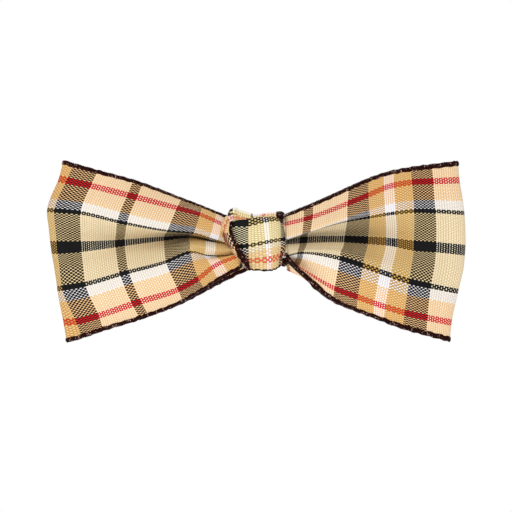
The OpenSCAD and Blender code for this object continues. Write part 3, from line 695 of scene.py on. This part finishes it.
# Depth of each line's points, and how far above the lowest height they lie
BOTTOM_SIDE = [(-9.2, 0.9), (-8.4, 0.15), (-5.8, 0), (-2.8, 0), (-0.6, 0.05), (0.2, 0.5)]
BOTTOM_END = (1.3, 1.5)  # the most its end rises: above its lowest height, above BACK_BOTTOM
BOTTOM_HEM = [1.3, 1.5, 0.9, 0.6]
BOTTOM_HEM_H = [1.7, 1.7, 0.8, 0.5]

# Behind the clip bar the two tails lap: place up the ribbon, height, and depth of each
LAP_X = [-6.4, -3.2, 0, 3.2, 6.4]
UPPER_LAP = [(0, BACK_TOP + 0.3, 0.38), (3.5, 4.2, 0.34), (7.9, -0.2, 0.34)]
LOWER_LAP = [(0, BACK_BOTTOM - 0.2, 0.5), (3.4, -0.8, 0.62), (6.2, 2.0, 0.76), (7.6, 3.4, 0.72)]

HEM_H = [0.5]  # how thick a bound edge of the knot is where it has no heights of its own


def top_net():
    """The upper tail: each line runs from its crease above the band to the back wrap's top."""
    net = []
    for x, crease, crest in TOP_LINES:
        rise = (x, TOP_RISE[0], crease + TOP_RISE[1] * (crest - crease))
        side = [(x, y, crest - drop) for y, drop in TOP_SIDE]
        end = (x * TOP_NARROWS, BACK_Y, BACK_TOP)
        net.append([(x, TOP_FRONT, crease), rise, *side, end])
    return net


def bottom_net():
    """The lower tail: each line runs from behind the band's bottom edge to the back wrap."""
    front_y = BOTTOM_SIDE[0][0]
    net = []
    for (x, low), back_x in zip(BOTTOM_LOW, LAP_X):
        line = [(x + (back_x - x) * (y - front_y) / (BACK_Y - front_y), y, low + rise)
                for y, rise in BOTTOM_SIDE]
        end_z = min(low + BOTTOM_END[0], BACK_BOTTOM + BOTTOM_END[1])
        net.append(line + [(back_x, BACK_Y, end_z)])
    return net


def lap_net(line):
    """A tail's flat end behind the clip bar: the same line at every place across it."""
    return [[(x, y, z) for _, z, y in line] for x in LAP_X]


def spread(sizes, count):
    """Sizes set evenly along a path of count points."""
    return np.interp(np.linspace(0, 1, count), np.linspace(0, 1, len(sizes)), sizes)


def hem(name, points, row, widths, heights=HEM_H):
    """A bound edge whose width and height change along it."""
    path, wide, thick = edge_frame(points, row)
    width = spread(widths, len(path))
    height = spread(heights, len(path))
    cord = tube(name, path, wide, thick, width, height, BOUND, ridge=RIDGE)
    return dress(cord, None)


band, band_points = net_cloth("knot_band", BAND_NET, BAND_U, BAND_V, KNOT_CHECK)
dress(band, "knot_front_band",
      [hem("knot_band_hem", band_points, -1, BAND_HEM)])
turn, turn_points = net_cloth("knot_turn", TURN_NET, TURN_U, TURN_V, KNOT_CHECK)
dress(turn, "knot_left_turn",
      [hem("knot_turn_hem", turn_points, 0, TURN_HEM)])
top, top_points = net_cloth("knot_top", top_net(), TOP_U, TOP_V, KNOT_CHECK)
dress(top, "knot_top_strand",
      [hem("knot_top_hem", top_points, -1, TOP_HEM, TOP_HEM_H)])
for name, line in (("knot_lap_upper", UPPER_LAP), ("knot_lap_lower", LOWER_LAP)):
    lap, _ = net_cloth(name, lap_net(line), [place[0] for place in line], TAIL_V, KNOT_CHECK)
    dress(lap, "knot_back_wrap")
bottom, bottom_points = net_cloth("knot_bottom", bottom_net(), BOTTOM_U, TAIL_V, KNOT_CHECK)
dress(bottom, "knot_bottom_strand",
      [hem("knot_bottom_hem", bottom_points, -1, BOTTOM_HEM, BOTTOM_HEM_H)])

# ---- The sewing ----

THREAD_D = 0.4
TIE_TURNS = 4
TIE_STEPS = 32  # points in a turn
TIE_LENGTH = 3.0
TIE_MIDDLE = (-5.4, 1.5)  # y and z of the middle of the waist
TIE_HALF = (3.6, 5.0)

STITCHES = 5
STITCH_STEP = 2.4
STITCH_L = 2.4
STITCH_Z = 1.5
STITCH_Y = 0.8
STITCH_RISE = 0.28
STITCH_POINTS = 11


def round_wire(name, path, out, diameter, material, around=8):
    """A round thread or wire along a path; out is a direction that is never along it."""
    path = np.array(path)
    ahead = np.gradient(path, axis=0)
    wide = np.cross(ahead, out)
    wide /= np.linalg.norm(wide, axis=1, keepdims=True)
    thick = np.cross(wide, ahead)
    thick /= np.linalg.norm(thick, axis=1, keepdims=True)
    return tube(name, path, wide, thick, diameter, diameter, material, around)


def thread(name, node, path):
    """A sewing thread along a path."""
    dress(round_wire(name, path, (1, 0, 0), THREAD_D, SEWING), node)


angle = np.linspace(0, 2 * math.pi * TIE_TURNS, TIE_TURNS * TIE_STEPS)
thread("gathering_cord", "gathering_thread",
       np.stack([np.linspace(-0.5, 0.5, len(angle)) * TIE_LENGTH,
                 TIE_MIDDLE[0] + TIE_HALF[0] * np.cos(angle),
                 TIE_MIDDLE[1] + TIE_HALF[1] * np.sin(angle)], axis=1))

rise = np.linspace(-0.5, 0.5, STITCH_POINTS)
for k in range(STITCHES):
    thread("stitch_" + str(k + 1), "knot_stitches",
           np.stack([np.full(STITCH_POINTS, (k - (STITCHES - 1) / 2) * STITCH_STEP),
                     STITCH_Y + STITCH_RISE * (1 - 4 * rise ** 2) ** 0.5,
                     STITCH_Z + rise * STITCH_L], axis=1))

# ---- The clip's springs ----

PIVOT = (18, 2.2)  # x and y of the right jaw's hinge
SPRING_WIRE = 0.5
COIL_R = 1.2
COIL_TURNS = 4
COIL_STEPS = 28  # points in a turn
COIL_HALF = 1.9  # half the coil's length along its pin
LEG_L = 4.6
LEG_STEPS = 8
LEVER_RISE = 20  # degrees between the shut jaw's lever and the bar
BAR_LEG_Y = -1.85  # where the other leg ends, from the hinge


def spring_path():
    """The right spring round its pin: the leg on the bar, the coil, the leg under the lever."""
    turn = np.radians(np.linspace(-90, 90 - LEVER_RISE + 360 * COIL_TURNS,
                                  COIL_STEPS * COIL_TURNS))
    coil = np.stack([COIL_R * np.cos(turn), COIL_R * np.sin(turn),
                     np.linspace(-COIL_HALF, COIL_HALF, len(turn))], axis=1)
    slope = math.radians(LEVER_RISE)
    lever_end = coil[-1] + LEG_L * np.array([-math.cos(slope), math.sin(slope), 0])
    bar_end = (-LEG_L, BAR_LEG_Y, -COIL_HALF)
    bar_leg = np.linspace(bar_end, coil[0], LEG_STEPS + 1)
    lever_leg = np.linspace(coil[-1], lever_end, LEG_STEPS + 1)
    return np.concatenate([bar_leg[:-1], coil, lever_leg[1:]])


for side, sign in (("left", -1), ("right", 1)):
    path = (spring_path() + (PIVOT[0], PIVOT[1], 0)) * (sign, 1, 1)
    coil = round_wire(side + "_coil", path, (0, 0, 1), SPRING_WIRE, SPRING, around=10)
    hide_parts(side + "_spring")
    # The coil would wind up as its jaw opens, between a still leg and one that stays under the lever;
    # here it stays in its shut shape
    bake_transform(coil)

# ---- Camera, light and ground, in metres ----

FLOOR_Z = -0.35
FLOOR_HALF = 2
FLOOR_GLOW = 0.4
SKY_LIGHT = 0.6  # how strongly the pale studio lights the cloth
CAMERA_PLACE = (-0.00027, -0.585, -0.00162)
CAMERA_LENS = 150


def soft_light(name, place, size, power, aim):
    """A round area light that faces the object called aim."""
    lamp = bpy.data.lights.new(name, "AREA")
    lamp.shape = "DISK"
    lamp.size = size
    lamp.energy = power
    made = bpy.data.objects.new(name, lamp)
    made.location = place
    bpy.context.collection.objects.link(made)
    track = made.constraints.new("TRACK_TO")
    track.target = aim
    track.track_axis = "TRACK_NEGATIVE_Z"
    track.up_axis = "UP_Y"


aim = bpy.data.objects.new("aim", None)
bpy.context.collection.objects.link(aim)
soft_light("key", (-0.35, -0.6, 0.55), 0.5, 2.4, aim)
soft_light("fill", (0.1, -0.9, 0.05), 0.5, 1.6, aim)
soft_light("rear", (0.1, 0.6, 0.5), 0.6, 4, aim)

floor_mesh = bpy.data.meshes.new("floor")
corners = [(-1, -1), (1, -1), (1, 1), (-1, 1)]
floor_mesh.from_pydata([(x * FLOOR_HALF, y * FLOOR_HALF, FLOOR_Z) for x, y in corners],
                       [], [(0, 1, 2, 3)])
floor = bpy.data.objects.new("floor", floor_mesh)
bpy.context.collection.objects.link(floor)
paper = Graph("paper")
paper.set(Base_Color=(0.85, 0.85, 0.85, 1), Roughness=0.8)
paper.surface.inputs["Emission Color"].default_value = (1, 1, 1, 1)
paper.surface.inputs["Emission Strength"].default_value = FLOOR_GLOW
floor_mesh.materials.append(paper.material)

bpy.context.scene.view_settings.view_transform = "Standard"
world = bpy.data.worlds.new("studio")
bpy.context.scene.world = world
world.use_nodes = True
sky = world.node_tree.nodes["Background"]
sky.inputs[0].default_value = (1, 1, 1, 1)
rays = world.node_tree.nodes.new("ShaderNodeLightPath")
strength = world.node_tree.nodes.new("ShaderNodeMapRange")
strength.inputs["To Min"].default_value = SKY_LIGHT
strength.inputs["To Max"].default_value = 1.0
world.node_tree.links.new(rays.outputs["Is Camera Ray"], strength.inputs["Value"])
world.node_tree.links.new(strength.outputs[0], sky.inputs[1])

camera = bpy.data.objects.new("camera", bpy.data.cameras.new("camera"))
camera.location = CAMERA_PLACE
camera.rotation_euler = (math.radians(90), 0, 0)
camera.data.lens = CAMERA_LENS
camera.data.sensor_width = 36
camera.data.clip_start = 0.01
bpy.context.collection.objects.link(camera)
bpy.context.scene.camera = camera
